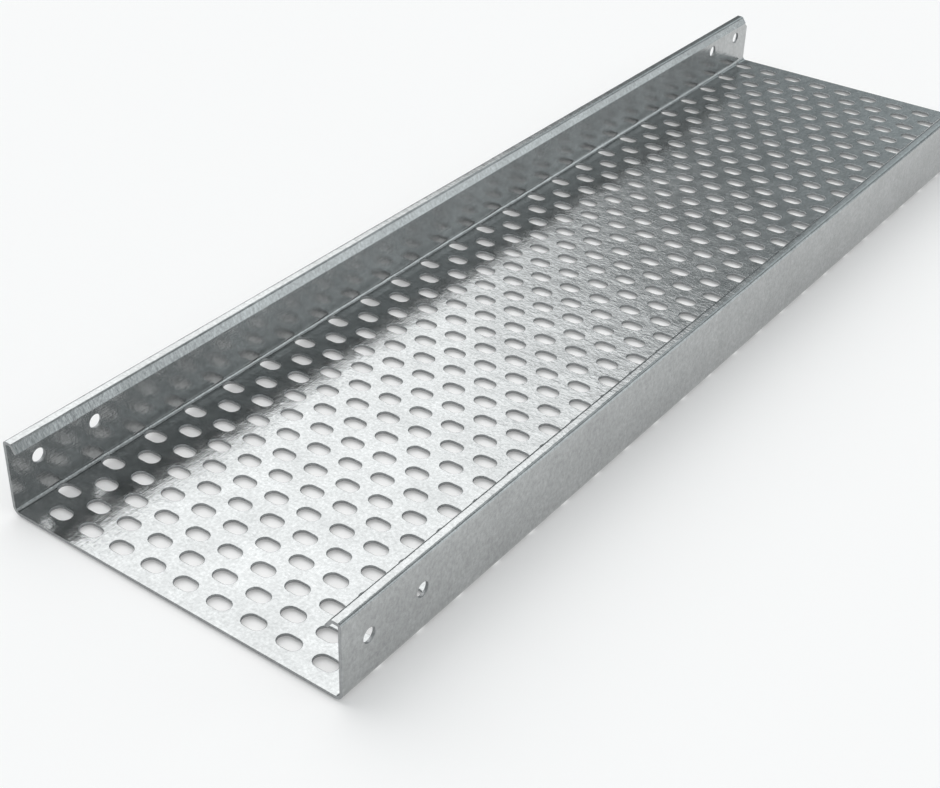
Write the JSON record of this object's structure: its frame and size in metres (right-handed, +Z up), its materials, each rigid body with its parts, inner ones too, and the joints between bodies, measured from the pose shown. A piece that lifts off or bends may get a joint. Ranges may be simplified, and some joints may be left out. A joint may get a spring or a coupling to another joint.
{
  "type": "perforated cable tray",
  "caption": "Perforated steel cable tray: a straight folded channel with return lips, staggered floor slots and bolt holes for coupling at the wall ends.",
  "frame": {"origin": "middle of the tray's length and width, at the underside of the floor", "axes": "+X along the tray to the end with cut corners, +Y to the left wall, +Z up"},
  "size_m": [1.075, 0.3, 0.0625],
  "materials": {
    "galvanised_steel": "satin galvanised"
  },
  "bodies": {
    "root": {"cable_tray": "galvanised_steel"}
  },
  "joints": []
}
